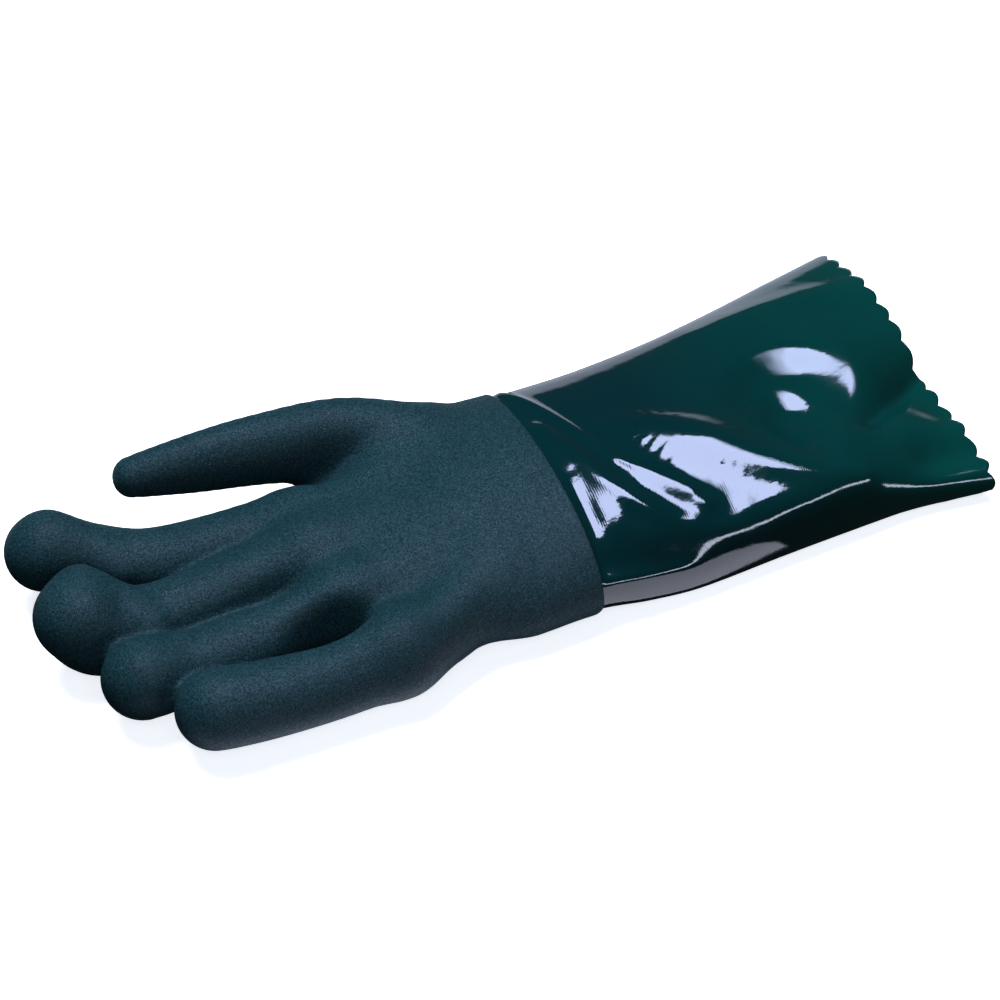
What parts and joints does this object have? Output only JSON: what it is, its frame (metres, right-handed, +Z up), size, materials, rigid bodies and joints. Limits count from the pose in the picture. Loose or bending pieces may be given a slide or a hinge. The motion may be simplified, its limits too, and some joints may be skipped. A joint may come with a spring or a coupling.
{
  "type": "pvc coated work glove",
  "caption": "Right-hand work gauntlet lying palm up: sandy dark teal hand with bulbous fingertips and a glossy green cuff with dents and a scalloped mouth.",
  "frame": {"origin": "middle of the glove's box, on the surface it lies on", "axes": "+X from the fingertips to the mouth of the gauntlet, +Y toward the thumb side, +Z up, out of the palm"},
  "size_m": [0.343, 0.149, 0.0403],
  "materials": {
    "sandy_coat": "sandy matte",
    "smooth_coat": "gloss"
  },
  "bodies": {
    "root": {"hand_coating": "sandy_coat", "gauntlet": "smooth_coat"}
  },
  "joints": []
}
